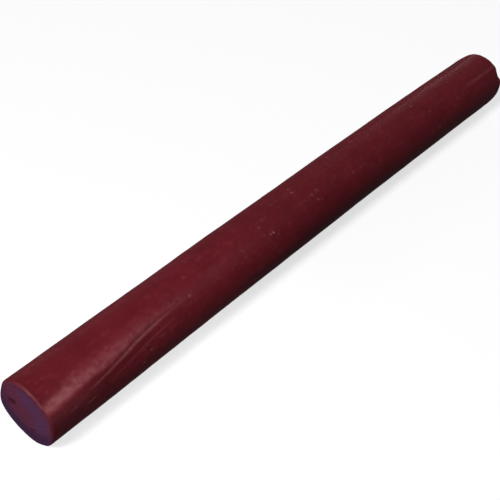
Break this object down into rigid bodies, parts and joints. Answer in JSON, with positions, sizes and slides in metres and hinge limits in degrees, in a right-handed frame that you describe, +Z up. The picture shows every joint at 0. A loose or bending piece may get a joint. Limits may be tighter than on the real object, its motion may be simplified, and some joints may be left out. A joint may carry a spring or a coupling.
{
  "type": "solid paint marker",
  "caption": "Bare round stick of solid paint with flat ends: a soft paint core closed in by its own dried skin, whose disc over the marking end pulls off before the first mark.",
  "frame": {"origin": "on the surface that the stick lies on, under the middle of its length", "axes": "+X along the stick from the marking end to the tail, +Z up"},
  "size_m": [0.105, 0.0094, 0.0095],
  "materials": {
    "soft_paint": "satin",
    "barrel_skin": "satin",
    "tip_skin": "matte",
    "tail_skin": "satin"
  },
  "bodies": {
    "stick": {"paint_core": "soft_paint", "barrel_skin": "barrel_skin", "tail_skin": "tail_skin"},
    "tip_film": {"tip_skin": "tip_skin"}
  },
  "joints": [
    {"name": "tip_skin_pull", "type": "slide", "parent": "stick", "child": "tip_film", "axis": [-1, 0, 0], "range_m": [0, 0.02]}
  ]
}
